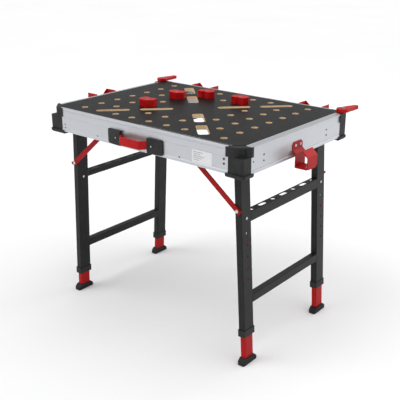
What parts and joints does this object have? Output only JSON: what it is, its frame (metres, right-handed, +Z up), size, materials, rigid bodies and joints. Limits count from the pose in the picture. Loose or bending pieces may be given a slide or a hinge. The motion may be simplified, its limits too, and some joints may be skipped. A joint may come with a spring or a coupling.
{
  "type": "folding clamping and welding table",
  "caption": "Folding clamping and welding table: perforated work top in an aluminium frame, folding telescopic legs, clamping jaws, stop levers, tool hook and carrying handle.",
  "frame": {"origin": "on the floor under the middle of the whole object's bounding box, legs unfolded and fully slid in", "axes": "+X along the table's length towards the end with the tool hook, +Y towards the side with the stop levers, away from the carrying handle, +Z up"},
  "size_m": [1.2, 0.8356, 0.9553],
  "materials": {
    "work_top": "black film on birch plywood, slightly glossy",
    "rails": "satin anodised",
    "corners": "textured black",
    "support_bars": "satin black",
    "bare_screws": "zinc plated",
    "handle_plates": "textured black",
    "strap": "smooth red",
    "plate": "blank pale label",
    "red_sheet": "red powder coat",
    "red_levers": "red moulding",
    "brace_red": "dark red powder coat",
    "hinge_steel": "zinc plated",
    "guide_steel": "mill finish",
    "leg_black": "satin black powder coat",
    "leg_red": "red powder coat",
    "collar_black": "moulded black",
    "foot_rubber": "matt black",
    "button_steel": "bare steel",
    "jaw_red": "red moulding",
    "peg_steel": "turned steel"
  },
  "bodies": {
    "table": {"worktop_panel": "work_top", "front_rail": "rails", "back_rail": "rails", "right_rail": "rails", "left_rail": "rails", "front_right_corner": "corners", "front_left_corner": "corners", "back_right_corner": "corners", "back_left_corner": "corners", "panel_support_bars": "support_bars", "rail_screws": "bare_screws", "handle_end_plates": "handle_plates", "handle_strap": "strap", "rating_plate": "plate", "tool_hook": "red_sheet", "back_bracket_left": "red_sheet", "back_bracket_right": "red_sheet", "left_bracket": "red_sheet", "accessory_screws": "bare_screws", "leg_hinge_brackets": "hinge_steel", "leg_hinge_bolts": "hinge_steel", "brace_guides": "guide_steel"},
    "right_leg_frame": {"right_front_leg_tube": "leg_black", "right_back_leg_tube": "leg_black", "right_tool_rail": "leg_black", "right_lower_rail": "leg_black", "right_leg_collars": "collar_black", "right_frame_bolts": "hinge_steel"},
    "right_front_brace_arm": {"right_front_brace": "brace_red"},
    "right_front_lower_leg": {"right_front_inner_leg": "leg_red", "right_front_foot": "foot_rubber"},
    "right_front_button": {"right_front_spring_button": "button_steel"},
    "right_back_brace_arm": {"right_back_brace": "brace_red"},
    "right_back_lower_leg": {"right_back_inner_leg": "leg_red", "right_back_foot": "foot_rubber"},
    "right_back_button": {"right_back_spring_button": "button_steel"},
    "left_leg_frame": {"left_front_leg_tube": "leg_black", "left_back_leg_tube": "leg_black", "left_tool_rail": "leg_black", "left_lower_rail": "leg_black", "left_leg_collars": "collar_black", "left_frame_bolts": "hinge_steel"},
    "left_front_brace_arm": {"left_front_brace": "brace_red"},
    "left_front_lower_leg": {"left_front_inner_leg": "leg_red", "left_front_foot": "foot_rubber"},
    "left_front_button": {"left_front_spring_button": "button_steel"},
    "left_back_brace_arm": {"left_back_brace": "brace_red"},
    "left_back_lower_leg": {"left_back_inner_leg": "leg_red", "left_back_foot": "foot_rubber"},
    "left_back_button": {"left_back_spring_button": "button_steel"},
    "right_lever": {"right_stop_lever": "red_levers"},
    "left_lever": {"left_stop_lever": "red_levers"},
    "peg_1": {"jaw_peg_1": "peg_steel"},
    "clamping_jaw_1": {"jaw_1": "jaw_red"},
    "peg_2": {"jaw_peg_2": "peg_steel"},
    "clamping_jaw_2": {"jaw_2": "jaw_red"},
    "peg_3": {"jaw_peg_3": "peg_steel"},
    "clamping_jaw_3": {"jaw_3": "jaw_red"},
    "peg_4": {"jaw_peg_4": "peg_steel"},
    "clamping_jaw_4": {"jaw_4": "jaw_red"}
  },
  "joints": [
    {"name": "right_frame_fold", "type": "hinge", "parent": "table", "child": "right_leg_frame", "pos_m": [0.4507, -0.02177, 0.873], "axis": [0, 1, 0], "range_deg": [0, 93.2]},
    {"name": "right_front_brace_turn", "type": "hinge", "parent": "right_leg_frame", "child": "right_front_brace_arm", "pos_m": [0.46272, -0.32327, 0.658], "axis": [0, 1, 0], "range_deg": [-131.25, 0]},
    {"name": "right_front_leg_slide", "type": "slide", "parent": "right_leg_frame", "child": "right_front_lower_leg", "axis": [-0.0558, 0, 0.9984], "range_m": [-0.192, 0]},
    {"name": "right_front_button_press", "type": "slide", "parent": "right_front_lower_leg", "child": "right_front_button", "axis": [-0.9984, 0, -0.0558], "range_m": [0, 0.004], "stiffness_N_per_m": 1500, "springref_m": -0.002},
    {"name": "right_back_brace_turn", "type": "hinge", "parent": "right_leg_frame", "child": "right_back_brace_arm", "pos_m": [0.46272, 0.27973, 0.658], "axis": [0, 1, 0], "range_deg": [-131.25, 0]},
    {"name": "right_back_leg_slide", "type": "slide", "parent": "right_leg_frame", "child": "right_back_lower_leg", "axis": [-0.0558, 0, 0.9984], "range_m": [-0.192, 0]},
    {"name": "right_back_button_press", "type": "slide", "parent": "right_back_lower_leg", "child": "right_back_button", "axis": [-0.9984, 0, -0.0558], "range_m": [0, 0.004], "stiffness_N_per_m": 1500, "springref_m": -0.002},
    {"name": "left_frame_fold", "type": "hinge", "parent": "table", "child": "left_leg_frame", "pos_m": [-0.4507, -0.02177, 0.837], "axis": [0, -1, 0], "range_deg": [0, 93.2]},
    {"name": "left_front_brace_turn", "type": "hinge", "parent": "left_leg_frame", "child": "left_front_brace_arm", "pos_m": [-0.46071, -0.32327, 0.658], "axis": [0, -1, 0], "range_deg": [-134.7, 0]},
    {"name": "left_front_leg_slide", "type": "slide", "parent": "left_leg_frame", "child": "left_front_lower_leg", "axis": [0.0558, 0, 0.9984], "range_m": [-0.192, 0]},
    {"name": "left_front_button_press", "type": "slide", "parent": "left_front_lower_leg", "child": "left_front_button", "axis": [0.9984, 0, -0.0558], "range_m": [0, 0.004], "stiffness_N_per_m": 1500, "springref_m": -0.002},
    {"name": "left_back_brace_turn", "type": "hinge", "parent": "left_leg_frame", "child": "left_back_brace_arm", "pos_m": [-0.46071, 0.27973, 0.658], "axis": [0, -1, 0], "range_deg": [-134.7, 0]},
    {"name": "left_back_leg_slide", "type": "slide", "parent": "left_leg_frame", "child": "left_back_lower_leg", "axis": [0.0558, 0, 0.9984], "range_m": [-0.192, 0]},
    {"name": "left_back_button_press", "type": "slide", "parent": "left_back_lower_leg", "child": "left_back_button", "axis": [0.9984, 0, -0.0558], "range_m": [0, 0.004], "stiffness_N_per_m": 1500, "springref_m": -0.002},
    {"name": "right_lever_turn", "type": "hinge", "parent": "table", "child": "right_lever", "pos_m": [0.518, 0.32422, 0.923], "axis": [0, 0, 1], "range_deg": [-90, 90]},
    {"name": "left_lever_turn", "type": "hinge", "parent": "table", "child": "left_lever", "pos_m": [-0.518, 0.32422, 0.923], "axis": [0, 0, 1], "range_deg": [-90, 90]},
    {"name": "jaw_1_lift", "type": "slide", "parent": "table", "child": "peg_1", "axis": [0, 0, 1], "range_m": [0, 0.03]},
    {"name": "jaw_1_turn", "type": "hinge", "parent": "peg_1", "child": "clamping_jaw_1", "pos_m": [-0.192, -0.11778, 0.923], "axis": [0, 0, 1], "continuous": true},
    {"name": "jaw_2_lift", "type": "slide", "parent": "table", "child": "peg_2", "axis": [0, 0, 1], "range_m": [0, 0.03]},
    {"name": "jaw_2_turn", "type": "hinge", "parent": "peg_2", "child": "clamping_jaw_2", "pos_m": [-0.192, 0.07422, 0.923], "axis": [0, 0, 1], "continuous": true},
    {"name": "jaw_3_lift", "type": "slide", "parent": "table", "child": "peg_3", "axis": [0, 0, 1], "range_m": [0, 0.03]},
    {"name": "jaw_3_turn", "type": "hinge", "parent": "peg_3", "child": "clamping_jaw_3", "pos_m": [-0.096, 0.17022, 0.923], "axis": [0, 0, 1], "continuous": true},
    {"name": "jaw_4_lift", "type": "slide", "parent": "table", "child": "peg_4", "axis": [0, 0, 1], "range_m": [0, 0.03]},
    {"name": "jaw_4_turn", "type": "hinge", "parent": "peg_4", "child": "clamping_jaw_4", "pos_m": [0.096, 0.17022, 0.923], "axis": [0, 0, 1], "continuous": true}
  ],
  "couplings": [
    {"joint": "right_front_brace_turn", "follows": "right_frame_fold", "ratio": -1.3975},
    {"joint": "right_back_brace_turn", "follows": "right_frame_fold", "ratio": -1.3975},
    {"joint": "left_front_brace_turn", "follows": "left_frame_fold", "ratio": -1.4345},
    {"joint": "left_back_brace_turn", "follows": "left_frame_fold", "ratio": -1.4345}
  ]
}
